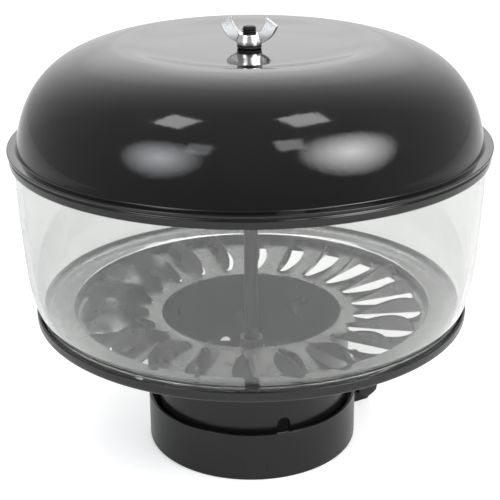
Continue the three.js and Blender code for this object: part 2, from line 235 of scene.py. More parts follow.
RUBBER = rubber("black_rubber", (0.008, 0.008, 0.008), (0.02, 0.02, 0.019))
CLEAR = clear_plastic("clear_polycarbonate")


# ---- Mesh building ------------------------------------------------------------------------

def make_piece(name, vertices, faces, material, body, slot, replaces, crease=32):
    """A smooth-shaded piece, sharp where faces meet at more than crease degrees."""
    mesh = bpy.data.meshes.new(name)
    mesh.from_pydata([Vector(v) * MM for v in vertices], [], faces)
    builder = bmesh.new()
    builder.from_mesh(mesh)
    bmesh.ops.recalc_face_normals(builder, faces=builder.faces)
    builder.to_mesh(mesh)
    builder.free()
    mesh.shade_smooth()
    mesh.set_sharp_from_angle(angle=math.radians(crease))
    mesh.materials.append(material)
    piece = bpy.data.objects.new(name, mesh)
    bpy.context.scene.collection.objects.link(piece)
    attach(piece, body)
    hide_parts(*replaces)
    return piece


def round_edges(piece, width_mm, segments=3, angle=50):
    """Rounds the piece's sharp edges, as pressing, moulding or paint does."""
    bevel = piece.modifiers.new("rounded_edges", "BEVEL")
    bevel.width = width_mm * MM
    bevel.segments = segments
    bevel.limit_method = "ANGLE"
    bevel.angle_limit = math.radians(angle)
    bevel.harden_normals = True
    return piece


def filleted(outline, steps=5):
    """A closed outline with its corners rounded. Its points are (r, z) or (r, z, fillet radius)."""
    points = []
    count = len(outline)
    for i, corner in enumerate(outline):
        here = Vector(corner[:2])
        radius = corner[2] if len(corner) > 2 else 0
        if not radius:
            points.append(tuple(here))
            continue
        before = Vector(outline[i - 1][:2]) - here
        after = Vector(outline[(i + 1) % count][:2]) - here
        half = before.angle(after) / 2
        reach = min(radius / math.tan(half), before.length * 0.49, after.length * 0.49)
        start = here + before.normalized() * reach
        end = here + after.normalized() * reach
        for step in range(steps + 1):
            t = step / steps
            points.append(tuple(start * (1 - t) ** 2 + here * 2 * t * (1 - t) + end * t ** 2))
    return points


def lathe(outline, around=SMOOTH_AROUND):
    """Vertices and faces of a closed (r, z) outline spun round Z. Points at r = 0 become poles."""
    vertices = []
    rings = []
    for r, z in outline:
        start = len(vertices)
        if r < 1e-6:
            vertices.append((0, 0, z))
            rings.append([start] * around)
            continue
        for i in range(around):
            angle = 2 * math.pi * i / around
            vertices.append((r * math.cos(angle), r * math.sin(angle), z))
        rings.append(list(range(start, start + around)))
    faces = []
    for lower, upper in zip(rings, rings[1:] + rings[:1]):
        for i in range(around):
            j = (i + 1) % around
            corners = [lower[i], lower[j], upper[j], upper[i]]
            distinct = list(dict.fromkeys(corners))
            if len(distinct) > 2:
                faces.append(distinct)
    return vertices, faces


def turned_piece(name, outline, material, body, slot, replaces, around=SMOOTH_AROUND, crease=32):
    """A piece made by spinning a closed (r, z) outline round Z."""
    vertices, faces = lathe(outline, around)
    return make_piece(name, vertices, faces, material, body, slot, replaces, crease)


def thickened(vertices, faces, thickness):
    """Gives an open sheet its thickness, half to each side, and closes its edges."""
    points = [Vector(v) for v in vertices]
    normals = [Vector() for _ in points]
    edges = []
    for face in faces:
        corners = [points[i] for i in face]
        normal = (corners[2] - corners[0]).cross(corners[3 % len(face)] - corners[1])
        for i, j in zip(face, face[1:] + face[:1]):
            normals[i] += normal
            edges.append((i, j))
    offsets = [n.normalized() * thickness / 2 for n in normals]
    count = len(points)
    solid_points = [p + o for p, o in zip(points, offsets)] + [p - o for p, o in zip(points, offsets)]
    solid_faces = [list(f) for f in faces]
    solid_faces += [[i + count for i in reversed(f)] for f in faces]
    known = set(edges)
    solid_faces += [[j, i, i + count, j + count] for i, j in edges if (j, i) not in known]
    return solid_points, solid_faces


def moved(vertices, matrix):
    """The vertices after the matrix."""
    return [matrix @ Vector(v) for v in vertices]


def joined(*parts):
    """One vertex and face list from several."""
    vertices = []
    faces = []
    for part_vertices, part_faces in parts:
        start = len(vertices)
        vertices += [Vector(v) for v in part_vertices]
        faces += [[i + start for i in face] for face in part_faces]
    return vertices, faces


def smoothstep(low, high, value):
    """0 up to low and 1 from high on, with a smooth rise between."""
    t = min(1, max(0, (value - low) / (high - low)))
    return t * t * (3 - 2 * t)


def steps_between(start, *stops):
    """Values from start on. Each stop is (value, how many equal steps lead to it)."""
    values = [start]
    for stop, count in stops:
        start = values[-1]
        values += [start + (stop - start) * step / count for step in range(1, count)] + [stop]
    return values


# ---- Cover --------------------------------------------------------------------------------

DOME_R = 98.14
DOME_BASE = SKIRT_Z - 24.55  # level of the superellipse's centre
DOME_HEIGHT = 72.57
DOME_ROUND_SIDE = 4.1  # superellipse powers
DOME_ROUND_TOP = 3.33
DOME_TO = 70.8  # degrees along the superellipse
BRIM_TOP = SKIRT_Z + 5.6
SKIRT_WIDTH = 2.1  # of the rolled edge under the brim
DISH_CENTRE = SKIRT_Z + 42.3
DISH_RIM_SLOPE = -0.15
DISH_FLATNESS = 7  # power of the dish's rise: the higher, the flatter its middle


def dome_face(inset, side_steps=48, top_steps=36):
    """The dome's face from the brim up, over the shoulder and in to the stud hole."""
    points = []
    first = math.asin(((BRIM_TOP - DOME_BASE) / DOME_HEIGHT) ** (DOME_ROUND_TOP / 2))
    for step in range(side_steps + 1):
        angle = first + (math.radians(DOME_TO) - first) * step / side_steps
        r = (DOME_R - inset) * math.cos(angle) ** (2 / DOME_ROUND_SIDE)
        z = DOME_BASE + (DOME_HEIGHT - inset) * math.sin(angle) ** (2 / DOME_ROUND_TOP)
        points.append((r, z))
    rim_r, rim_z = points[-1]
    for step in range(1, top_steps + 1):
        r = rim_r + (STUD_BORE_R - rim_r) * step / top_steps
        t = r / rim_r
        rise = t ** DISH_FLATNESS * (DISH_FLATNESS + 1 - DISH_FLATNESS * t)
        lean = DISH_RIM_SLOPE * rim_r * t ** DISH_FLATNESS * (t - 1)
        points.append((r, (DISH_CENTRE - inset) * (1 - rise) + rim_z * rise + lean))
    return points


def make_cover():
    """The pressed cover: grooved skirt, brim, dome and dished top, as one closed outline."""
    underside = BRIM_TOP - SHEET
    skirt_inner = BRIM_R - SKIRT_WIDTH
    brim = [
        (skirt_inner, SKIRT_Z, 0.3),
        (BRIM_R - 0.7, SKIRT_Z, 0.8),
        (BRIM_R - 0.6, SKIRT_Z + 3.0, 0.5),
        (BRIM_R - 1.3, SKIRT_Z + 3.8, 0.4),
        (BRIM_R - 0.2, SKIRT_Z + 4.4, 0.4),
        (BRIM_R, BRIM_TOP - 0.1, 0.7),
    ]
    outer = dome_face(0)
    inner = list(reversed(dome_face(SHEET)))
    root = (outer[0][0], BRIM_TOP, 0.6)
    under_brim = [
        (inner[-1][0], underside, 0.4),
        (skirt_inner, underside, 0.4),
    ]
    outline = filleted(brim + [root] + outer[2:] + inner[:-1] + under_brim)
    return turned_piece(
        "cover_shell", outline, GLOSS_BLACK, "cover", "gloss_black_paint", ["cover"], crease=60)


def make_ring(name, node, material, body, slot, edge, around=SMOOTH_AROUND, inner=STUD_BORE_R, shy=0):
    """A flat ring with rounded edges in its CAD node's place, its outside shy of the node's by a little."""
    low, high = span(node)
    outer = high.x - shy
    outline = filleted([
        (inner, low.z, edge),
        (outer, low.z, edge),
        (outer, high.z, edge),
        (inner, high.z, edge),
    ])
    return turned_piece(name, outline, material, body, slot, [node], around)


# ---- Bowl ---------------------------------------------------------------------------------

BOWL_WALL = 2.4
BOWL_FOOT_R = 90.9
BOWL_LEDGE = 2  # height of the ledge turned in at the foot
BOWL_LEDGE_R = 77.5
BOWL_LEDGE_FILLET = 3
BOWL_AROUND = 256


def bowl_wall(inset, steps=10):
    """The wall swells quickly above the foot, then leans out gently to the top."""
    corners = [
        (BOWL_FOOT_R - inset, BOWL_BOTTOM),
        (BOWL_FOOT_R + 0.7 - inset, BOWL_BOTTOM + 3),
        (BOWL_FOOT_R + 2.6 - inset, BOWL_BOTTOM + 7),
        (BOWL_FOOT_R + 4.8 - inset, BOWL_BOTTOM + 18),
        (BOWL_R - 0.6 - inset, BOWL_BOTTOM + 46),
        (BOWL_R - inset, BOWL_TOP),
    ]
    return spline_through(corners, steps)


def spline_through(corners, steps):
    """A Catmull-Rom curve through the corners."""
    points = [Vector(c) for c in corners]
    ends = [2 * points[0] - points[1]] + points + [2 * points[-1] - points[-2]]
    curve = []
    for a, b, c, d in zip(ends, ends[1:], ends[2:], ends[3:]):
        for step in range(steps):
            t = step / steps
            curve.append(tuple(0.5 * (
                2 * b + (c - a) * t + (2 * a - 5 * b + 4 * c - d) * t * t + (3 * b - a - 3 * c + d) * t ** 3
            )))
    curve.append(tuple(points[-1]))
    return curve


def make_bowl():
    """The wall, with a narrow ledge turned in at its foot that keeps the dust off the vanes."""
    outer = bowl_wall(0)
    ledge_top = BOWL_BOTTOM + BOWL_LEDGE
    inner = [point for point in reversed(bowl_wall(BOWL_WALL)) if point[1] > ledge_top + BOWL_LEDGE_FILLET]
    edge = 0.4
    corners = [(*outer[0], edge)] + outer[1:-1] + [(*outer[-1], edge), (*inner[0], edge)] + inner[1:]
    ledge = [
        (BOWL_FOOT_R - BOWL_WALL, ledge_top, BOWL_LEDGE_FILLET),
        (BOWL_LEDGE_R, BOWL_BOTTOM + BOWL_LEDGE / 4, 0.2),
        (BOWL_LEDGE_R, BOWL_BOTTOM, 0.2),
    ]
    outline = filleted(corners + ledge)
    return turned_piece(
        "bowl_clear", outline, CLEAR, "bowl", "clear_polycarbonate", ["bowl"], BOWL_AROUND, crease=70)


# ---- Base tray and vane ring --------------------------------------------------------------

TRAY_INNER_R = 76.4
TRAY_BEAD = 0.5  # height of the bead pressed round the tray's opening
TRAY_BEAD_WIDTH = 2.3


def make_base_tray():
    """A flat ring with an upturned rim outside and a low bead round the opening."""
    floor_top = TRAY_BOTTOM + SHEET
    bead_r = TRAY_INNER_R + TRAY_BEAD_WIDTH
    outline = filleted([
        (TRAY_INNER_R, TRAY_BOTTOM, 0.2),
        (TRAY_R, TRAY_BOTTOM, 1.6),
        (TRAY_R, TRAY_TOP, 0.5),
        (TRAY_R - SHEET, TRAY_TOP, 0.5),
        (TRAY_R - SHEET, floor_top, 1.0),
        (bead_r + 0.6, floor_top, 0.8),
        (bead_r, floor_top + TRAY_BEAD, 0.9),
        (TRAY_INNER_R, floor_top + TRAY_BEAD, 1.1),
    ])
    return turned_piece(
        "base_tray_rim", outline, SATIN_BLACK, "base", "satin_black_paint", ["base_tray"], crease=45)


VANE_COUNT = 22
VANE_AZIMUTH = -6.3  # degrees, of the first vane's bend line
VANE_INNER_R = 45.2
VANE_OUTER_R = 74.4
VANE_WIDTH = 9.9  # of an opening where it is widest
VANE_ROOT_WIDTH = 4.5
VANE_WIDEST = 0.62  # how far along the vane it is widest
VANE_TILT = (40, 70)  # degrees, (at its root, at its outer end)
VANE_TWIST = (46, 68)  # radii between which the tilt changes
VANE_BEND = 2.2  # width of the curled bend along its root
VANE_SHEET = 1.0
VANE_RINGS = 26  # mesh steps along a vane
WEB_COLUMNS = 5  # mesh steps round the plate between two openings
GAP_COLUMNS = 3  # and across one opening, where the plate is whole
HUB_HOLE_R = 39
HUB_R = 44.7
HUB_TOP = span("vane_ring")[0].z + SHEET
FLANGE_INNER_R = 75
FLANGE_R = outer_radius("vane_ring")
FLANGE_TOP = TRAY_BOTTOM - 0.3
LIP_R = 75.2  # of the lip turned down under the flange


def opening_width(r):
    """Width of an opening: it grows from the root, then closes in a round end."""
    t = (r - VANE_INNER_R) / (VANE_OUTER_R - VANE_INNER_R)
    if t < VANE_WIDEST:
        grow = math.sin(math.pi / 2 * t / VANE_WIDEST) ** 0.8
        return VANE_ROOT_WIDTH + (VANE_WIDTH - VANE_ROOT_WIDTH) * grow
    past = (t - VANE_WIDEST) / (1 - VANE_WIDEST)
    return VANE_ROOT_WIDTH / 2 + (VANE_WIDTH - VANE_ROOT_WIDTH / 2) * math.sqrt(1 - past ** 3.4)


def plate_height(r):
    """Middle of the vane ring's sheet: a shallow cone between the hub and the flange."""
    slope = (FLANGE_TOP - HUB_TOP) / (FLANGE_INNER_R - HUB_R)
    return HUB_TOP - VANE_SHEET / 2 + slope * min(max(r - HUB_R, 0), FLANGE_INNER_R - HUB_R)


def vane_section(r, steps=8):
    """(sideways, up) points of a vane across its width, from its bend to its free edge."""
    root_tilt, end_tilt = VANE_TILT
    tilt = math.radians(root_tilt + (end_tilt - root_tilt) * smoothstep(*VANE_TWIST, r))
    length = opening_width(r) - VANE_SHEET / 2
    points = []
    side = 0
    up = 0
    for step in range(1, steps + 1):
        along = length * (step - 0.5) / steps
        angle = tilt * smoothstep(0, VANE_BEND, along)
        side += math.cos(angle) * length / steps
        up += math.sin(angle) * length / steps
        points.append((side, up))
    return points


def vane_ring_sheet():
    """Hub, flange and webs as one open sheet, with a vane bent up from one side of each opening."""
    pitch = 2 * math.pi / VANE_COUNT
    per_vane = WEB_COLUMNS + GAP_COLUMNS
    stations = []
    for step in range(VANE_RINGS + 1):
        share = math.sin(math.pi / 2 * step / VANE_RINGS)
        stations.append(VANE_INNER_R + (VANE_OUTER_R - VANE_INNER_R) * share)
    hub_rings = [HUB_HOLE_R + 0.5, 41, 43, HUB_R]
    flange_rings = [FLANGE_INNER_R, 77, FLANGE_R - 0.5]
    rings = hub_rings + stations + flange_rings
    first = len(hub_rings)
    last = first + VANE_RINGS
    vertices = []
    faces = []
    index = {}

    def corner(ring, column):
        """The plate's mesh point, made when it is first asked for."""
        vane, part = divmod(column, per_vane)
        key = (ring, vane % VANE_COUNT, part)
        if key not in index:
            r = rings[ring]
            start = math.radians(VANE_AZIMUTH) + vane * pitch
            gap = opening_width(min(max(r, VANE_INNER_R), VANE_OUTER_R)) / r
            if part <= WEB_COLUMNS:
                angle = start + (pitch - gap) * part / WEB_COLUMNS
            else:
                angle = start + pitch - gap + gap * (part - WEB_COLUMNS) / GAP_COLUMNS
            index[key] = len(vertices)
            vertices.append((r * math.cos(angle), r * math.sin(angle), plate_height(r)))
        return index[key]

    for ring in range(len(rings) - 1):
        for column in range(VANE_COUNT * per_vane):
            if first <= ring < last and column % per_vane >= WEB_COLUMNS:
                continue
            faces.append([
                corner(ring, column),
                corner(ring + 1, column),
                corner(ring + 1, column + 1),
                corner(ring, column + 1),
            ])
    sections = [vane_section(r) for r in stations]
    for vane in range(VANE_COUNT):
        turn = Matrix.Rotation(math.radians(VANE_AZIMUTH) + vane * pitch, 3, "Z")
        previous = [corner(ring, vane * per_vane) for ring in range(first, last + 1)]
        for step in range(len(sections[0])):
            row = []
            for r, section in zip(stations, sections):
                side, up = section[step]
                row.append(len(vertices))
                vertices.append(tuple(turn @ Vector((r, -side, plate_height(r) + up))))
            for i in range(VANE_RINGS):
                faces.append([row[i], row[i + 1], previous[i + 1], previous[i]])
            previous = row
    return vertices, faces


def vane_ring_lip():
    """The lip turned down under the flange, which cuts the view through the openings short."""
    lip_top = FLANGE_TOP - 0.4
    lip_bottom = HUB_TOP - SHEET
    return lathe(filleted([
        (LIP_R, lip_bottom, 0.3),
        (LIP_R + VANE_SHEET, lip_bottom, 0.3),
        (LIP_R + VANE_SHEET, lip_top),
        (LIP_R, lip_top),
    ]))


def make_vane_ring():
    """The louvred ring that sets the air spinning."""
    solid = joined(thickened(*vane_ring_sheet(), VANE_SHEET), vane_ring_lip())
    # The vane ring's satin black paint, in its lighter copy with painted sheen.
    ring = make_piece(
        "swirl_vanes", *solid, SATIN_BLACK_PAINTED_SHEEN, "base", "satin_black_paint", ["vane_ring"], crease=50)
    return round_edges(ring, 0.22, segments=2)


# ---- Neck and stud bar --------------------------------------------------------------------

SLOT_COUNT = 4
SLOT_WIDTH = 5.5
SLOT_ROUND_Z = 24  # level of each slot's round end
SLOT_AZIMUTH = -72  # degrees, of the first slot


def make_neck():
    """The tube's wall as a sheet: full-height columns between the slots, shorter ones above them."""
    middle_r = NECK_R - NECK_WALL / 2
    slot_half = SLOT_WIDTH / 2 / middle_r
    slot_columns = 12
    wall_columns = 36
    per_slot = slot_columns + wall_columns
    columns = SLOT_COUNT * per_slot
    low_rows = 8
    high_rows = 12
    vertices = []
    faces = []
    low = {}
    high = {}

    def azimuth(column):
        slot, part = divmod(column, per_slot)
        centre = math.radians(SLOT_AZIMUTH) + 2 * math.pi * slot / SLOT_COUNT
        if part <= slot_columns:
            return centre - slot_half * math.cos(math.pi * part / slot_columns)
        open_angle = 2 * math.pi / SLOT_COUNT - 2 * slot_half
        return centre + slot_half + open_angle * (part - slot_columns) / wall_columns

    def stack(column, levels):
        """Adds a point to the column at each level, and gives the points' numbers."""
        x = middle_r * math.cos(azimuth(column))
        y = middle_r * math.sin(azimuth(column))
        start = len(vertices)
        vertices.extend((x, y, z) for z in levels)
        return list(range(start, len(vertices)))

    for column in range(columns):
        part = column % per_slot
        edge = SLOT_ROUND_Z
        if part < slot_columns:
            edge += SLOT_WIDTH / 2 * math.sin(math.pi * part / slot_columns)
        high[column] = stack(column, steps_between(edge, (NECK_TOP, high_rows)))
        if part == 0 or part >= slot_columns:
            low_levels = steps_between(0, (SLOT_ROUND_Z, low_rows))[:-1]
            low[column] = stack(column, low_levels) + high[column][:1]
    for column in range(columns):
        beside = (column + 1) % columns
        strips = [high]
        if column % per_slot >= slot_columns:
            strips.append(low)
        for strip in strips:
            here = strip[column]
            there = strip[beside]
            for row in range(len(here) - 1):
                faces.append([here[row], there[row], there[row + 1], here[row + 1]])
    solid = thickened(vertices, faces, NECK_WALL)
    neck = make_piece(
        "neck_sleeve", *solid, SATIN_BLACK, "base", "satin_black_paint", ["neck_tube"], crease=50)
    return round_edges(neck, 0.35)


def rings_to_hole(half, hole_r, side_steps):
    """Two rings of (x, y) points inside a square: half way in, and on the edge of a round hole.

    Both start at the corner (-, -), and have side_steps points for each side of the square.
    """
    square = []
    corners = [(-1, -1), (1, -1), (1, 1), (-1, 1)]
    for (ax, ay), (bx, by) in zip(corners, corners[1:] + corners[:1]):
        for step in range(side_steps):
            t = step / side_steps
            square.append(Vector((half * (ax + (bx - ax) * t), half * (ay + (by - ay) * t))))
    on_hole = [p.normalized() * hole_r for p in square]
    half_way = [(p + q) * 0.5 for p, q in zip(square, on_hole)]
    return half_way, on_hole


def holed_strip(xs, ys, patches, hole_r, place):
    """A grid of xs by ys in which each square patch is remade round a hole.

    A patch is ((first x, last x), (first y, last y)), with as many steps one way as the other.
    place(x, y) gives each point's position.
    """
    vertices = []
    faces = []
    index = {}

    def grid(i, j):
        if (i, j) not in index:
            index[i, j] = len(vertices)
            vertices.append(place(xs[i], ys[j]))
        return index[i, j]

    for i in range(len(xs) - 1):
        for j in range(len(ys) - 1):
            if not any(px[0] <= i < px[1] and py[0] <= j < py[1] for px, py in patches):
                faces.append([grid(i, j), grid(i + 1, j), grid(i + 1, j + 1), grid(i, j + 1)])
    for px, py in patches:
        steps = px[1] - px[0]
        outer = [grid(px[0] + s, py[0]) for s in range(steps)]
        outer += [grid(px[1], py[0] + s) for s in range(steps)]
        outer += [grid(px[1] - s, py[1]) for s in range(steps)]
        outer += [grid(px[0], py[1] - s) for s in range(steps)]
        centre = Vector((xs[px[0]] + xs[px[1]], ys[py[0]] + ys[py[1]])) / 2
        half = (xs[px[1]] - xs[px[0]]) / 2
        for ring in rings_to_hole(half, hole_r, steps):
            inner = []
            for point in ring:
                inner.append(len(vertices))
                vertices.append(place(*(centre + point)))
            for a in range(len(inner)):
                b = (a + 1) % len(inner)
                faces.append([outer[a], outer[b], inner[b], inner[a]])
            outer = inner
    return vertices, faces


BAR_SHEET = 3
BAR_BEND_R = 3.5


def make_stud_bar():
    """A flat strap across the neck with upturned, welded ends and the stud's hole in the middle."""
    low, high = span("stud_bar")
    half_width = high.y
    end_x = math.sqrt(high.x ** 2 - half_width ** 2) - BAR_SHEET / 2
    flat_x = end_x - BAR_BEND_R
    quarter = math.pi / 2 * BAR_BEND_R
    tab = high.z - low.z - BAR_SHEET / 2 - BAR_BEND_R
    middle_z = low.z + BAR_SHEET / 2

    def bend(s, y):
        """The place of a point s along the strap from its middle: flat, then the bend, then the end."""
        side = math.copysign(1, s)
        past = abs(s) - flat_x
        if past <= 0:
            return (s, y, middle_z)
        if past > quarter:
            return (side * end_x, y, middle_z + BAR_BEND_R + past - quarter)
        angle = past / BAR_BEND_R
        x = side * (flat_x + BAR_BEND_R * math.sin(angle))
        return (x, y, middle_z + BAR_BEND_R * (1 - math.cos(angle)))

    patch = 8
    bend_s = flat_x + quarter
    end_s = bend_s + tab
    xs = steps_between(
        -end_s, (-bend_s, 2), (-flat_x, 6), (-patch, 4), (patch, 8), (flat_x, 4), (bend_s, 6), (end_s, 2))
    ys = steps_between(-half_width, (-patch, 1), (patch, 8), (half_width, 1))
    hole_patch = [(xs.index(-patch), xs.index(patch)), (ys.index(-patch), ys.index(patch))]
    solid = thickened(*holed_strip(xs, ys, [hole_patch], STUD_BORE_R, bend), BAR_SHEET)
    bar = make_piece(
        "stud_strap", *solid, SATIN_BLACK, "base", "satin_black_paint", ["stud_bar"], crease=50)
    return round_edges(bar, 0.5)


# ---- Fasteners ----------------------------------------------------------------------------

THREAD_PITCH = 1.0
THREAD_DEPTH = 0.55
THREAD_ROWS = 6  # mesh rows along one pitch
ACROSS_FLATS = 10  # of an M6 hexagon


def threaded_rod(bottom, top, threads, around=32):
    """An M6 rod with real helical thread on each (from, to) stretch and chamfered ends."""
    chamfer = 0.8
    rows = int((top - bottom) / THREAD_PITCH * THREAD_ROWS)
    outline_z = [bottom + (top - bottom) * row / rows for row in range(rows + 1)]
    vertices = [(0, 0, bottom)]
    for z in outline_z:
        cut = any(low <= z <= high for low, high in threads)
        limit = STUD_R - max(0, chamfer - (z - bottom), chamfer - (top - z))
        for i in range(around):
            turn = i / around
            phase = (z / THREAD_PITCH - turn) % 1
            groove = THREAD_DEPTH * abs(2 * phase - 1) if cut else 0
            r = min(limit, STUD_R - groove)
            vertices.append((r * math.cos(2 * math.pi * turn), r * math.sin(2 * math.pi * turn), z))
    vertices.append((0, 0, top))
    faces = [[0, 1 + (i + 1) % around, 1 + i] for i in range(around)]
    for row in range(rows):
        start = 1 + row * around
        for i in range(around):
            j = (i + 1) % around
            faces.append([start + i, start + j, start + around + j, start + around + i])
    start = 1 + rows * around
    faces += [[start + i, start + (i + 1) % around, len(vertices) - 1] for i in range(around)]
    return vertices, faces


def hexagon_solid(bottom, top, bore_r, cut_bottom=True, around=96):
    """An M6 hexagon with its corners turned off at 30 degrees.

    It has a bore with lead-in chamfers if bore_r isn't 0.
    """
    flat_r = ACROSS_FLATS / 2
    face_r = flat_r * 0.96
    slope = math.tan(math.radians(30))
    rings = []

    def ring(radius_at, z_at):
        """Adds a ring of points, from the radius at each angle and the level at each radius."""
        points = []
        for i in range(around):
            angle = 2 * math.pi * i / around
            r = radius_at(angle)
            points.append((r * math.cos(angle), r * math.sin(angle), z_at(r)))
        rings.append(points)

    def hexagon_r(angle):
        return flat_r / math.cos((angle + math.pi / 6) % (math.pi / 3) - math.pi / 6)

    lead_in = 0.4 if bore_r else 0
    if bore_r:
        ring(lambda a: bore_r, lambda r: bottom + lead_in)
        ring(lambda a: bore_r + lead_in, lambda r: bottom)
    if cut_bottom:
        ring(lambda a: face_r, lambda r: bottom)
        ring(hexagon_r, lambda r: bottom + (r - face_r) * slope)
    else:
        ring(hexagon_r, lambda r: bottom)
    ring(hexagon_r, lambda r: top - (r - face_r) * slope)
    ring(lambda a: face_r, lambda r: top)
    if bore_r:
        ring(lambda a: bore_r + lead_in, lambda r: top)
        ring(lambda a: bore_r, lambda r: top - lead_in)
    vertices = [p for points in rings for p in points]
    faces = []
    pairs = [(a, a + 1) for a in range(len(rings) - 1)]
    if bore_r:
        pairs.append((len(rings) - 1, 0))
    for a, b in pairs:
        for i in range(around):
            j = (i + 1) % around
            faces.append([a * around + i, a * around + j, b * around + j, b * around + i])
    if not bore_r:
        faces.append(list(reversed(range(around))))
        faces.append(list(range((len(rings) - 1) * around, len(rings) * around)))
    return vertices, faces


def make_stud():
    """The centre stud, threaded at the bar and under the wing nut."""
    threads = [(STUD_BOTTOM, STUD_BOTTOM + 24), (STUD_TOP - 22, STUD_TOP)]
    rod = threaded_rod(STUD_BOTTOM, STUD_TOP, threads)
    return make_piece("threaded_stud", *rod, DULL_STEEL, "base", "dark_steel", ["centre_stud"], crease=75)


def make_stud_nut(node):
    low, high = span(node)
    nut = hexagon_solid(low.z, high.z, STUD_BORE_R)
    return make_piece(node + "_hex", *nut, DULL_ZINC, "base", "zinc_plate", [node], crease=25)


WING_THICK = 2.3
WING_AZIMUTH = -20  # degrees


def quadratic(a, b, c, steps=10):
    """Points on the curve from a to c that heads for b."""
    points = []
    for step in range(steps + 1):
        t = step / steps
        points.append(tuple(Vector(a) * (1 - t) ** 2 + Vector(b) * 2 * t * (1 - t) + Vector(c) * t * t))
    return points


def wing_outline():
    """One wing in (outwards, up): its lower edge curves out and up, its tip is cut across."""
    lower_edge = quadratic((2.6, 0.4), (9.9, 1.0), (12.1, 8.0))
    upper_edge = quadratic((7.5, 11.1), (5.9, 5.4), (2.6, 3.9))
    return lower_edge + upper_edge


def extruded(outline, thickness):
    """A closed (outwards, up) outline given a thickness along Y."""
    count = len(outline)
    vertices = [(x, side * thickness / 2, z) for side in (-1, 1) for x, z in outline]
    faces = [list(range(count)), list(reversed(range(count, 2 * count)))]
    faces += [[i, i + count, (i + 1) % count + count, (i + 1) % count] for i in range(count)]
    return vertices, faces


def make_wing_nut():
    """Boss and wings remeshed into one forged body. The boss is solid, and the stud's end stands in it."""
    boss = lathe(filleted([(0, 0), (5.3, 0, 0.3), (5.2, 1.3, 0.3), (4.3, 4.4, 0.5), (0, 4.4)]), 64)
    wing, wing_faces = extruded(wing_outline(), WING_THICK)
    other_wing = moved(wing, Matrix.Rotation(math.pi, 3, "Z"))
    vertices, faces = joined(boss, (wing, wing_faces), (other_wing, wing_faces))
    place = Matrix.Translation((0, 0, WING_BOTTOM)) @ Matrix.Rotation(math.radians(WING_AZIMUTH), 4, "Z")
    nut = make_piece(
        "wing_nut_forged", moved(vertices, place), faces, ZINC, "wing_nut", "zinc_plate", ["wing_nut"])
    forge = nut.modifiers.new("forged_body", "REMESH")
    forge.mode = "VOXEL"
    forge.voxel_size = 0.16 * MM
    forge.use_smooth_shade = True
    soften = nut.modifiers.new("soft_edges", "SMOOTH")
    soften.factor = 0.5
    soften.iterations = 5
    return nut


# ---- Clamp --------------------------------------------------------------------------------

BAND_INNER_R = 45.3
BAND_SHEET = 1.3
BAND_BEND_R = 2.5  # between band and ear, to the middle of the sheet
BAND_AZIMUTH = 29  # degrees, of the ears
EAR_REACH = 64
EAR_MIDDLE = 4 + BAND_SHEET / 2  # from the middle plane between the ears
EAR_OUTSIDE = EAR_MIDDLE + BAND_SHEET / 2
EAR_CORNER = 3.54  # how much each ear's corners are cut off
BOLT_RADIUS_FROM_AXIS = 56.8
BOLT_Z = 10.2
BOLT_LENGTH = 24
BOLT_THREADED = 18
BOLT_HEAD_HEIGHT = 4
CLAMP_NUT_HEIGHT = 5
WASHER_R = 6
WASHER_THICK = 1.2
FASTENER_GAP = 0.3
CLAMP_TURN = Matrix.Rotation(math.radians(BAND_AZIMUTH), 4, "Z")
TO_BOLT = Matrix.Translation((BOLT_RADIUS_FROM_AXIS, 0, BOLT_Z)) @ Matrix.Rotation(math.pi / 2, 4, "X")
ACROSS_EARS = CLAMP_TURN @ TO_BOLT


def make_clamp_band():
    """A strip round the neck whose two ends bend out into ears.

    s runs along the strip from one ear's end to the other's.
    """
    band_r = BAND_INNER_R + BAND_SHEET / 2
    bend_y = EAR_MIDDLE + BAND_BEND_R
    bend_x = math.sqrt((band_r + BAND_BEND_R) ** 2 - bend_y ** 2)
    start_angle = math.atan2(bend_y, bend_x)
    ear = EAR_REACH - bend_x
    bend = BAND_BEND_R * (math.pi / 2 - start_angle)
    total = 2 * (ear + bend) + band_r * (2 * math.pi - 2 * start_angle)

    def path(s):
        """The strip's place in XY, mirrored past its half way."""
        mirror = 1 if s <= total / 2 else -1
        s = min(s, total - s)
        if s <= ear:
            return EAR_REACH - s, mirror * EAR_MIDDLE
        if s <= ear + bend:
            angle = (s - ear) / BAND_BEND_R
            return bend_x - BAND_BEND_R * math.sin(angle), mirror * (bend_y - BAND_BEND_R * math.cos(angle))
        angle = start_angle + (s - ear - bend) / band_r
        return band_r * math.cos(angle), mirror * band_r * math.sin(angle)

    patch = 4.9  # half the side of the square round each bolt hole
    below = BOLT_Z - patch
    above = BAND_HEIGHT - BOLT_Z - patch

    def place(s, z):
        """A point of the strip, its edges drawn in at the ears' corners."""
        shrink = max(0, EAR_CORNER - min(s, total - s))
        if z < below:
            z = shrink + (below - shrink) * z / below
        elif z > BAND_HEIGHT - above:
            z = BAND_HEIGHT - shrink - (above - shrink) * (BAND_HEIGHT - z) / above
        return (*path(s), z)

    hole_s = EAR_REACH - BOLT_RADIUS_FROM_AXIS
    near = steps_between(0, (hole_s - patch, 2), (hole_s + patch, 8), (ear, 2), (ear + bend, 6))
    far = [total - s for s in reversed(near)]
    xs = near + steps_between(near[-1], (far[0], 120))[1:-1] + far
    ys = steps_between(0, (below, 2), (BOLT_Z + patch, 8), (BAND_HEIGHT, 2))
    last = len(xs) - 1
    first, past = near.index(hole_s - patch), near.index(hole_s + patch)
    rows = (ys.index(below), ys.index(BOLT_Z + patch))
    holes = [((first, past), rows), ((last - past, last - first), rows)]
    vertices, faces = thickened(*holed_strip(xs, ys, holes, STUD_BORE_R, place), BAND_SHEET)
    band = make_piece(
        "clamp_strap", moved(vertices, CLAMP_TURN), faces, SATIN_BLACK, "clamp", "satin_black_paint",
        ["clamp_band"], crease=50)
    return round_edges(band, 0.3)


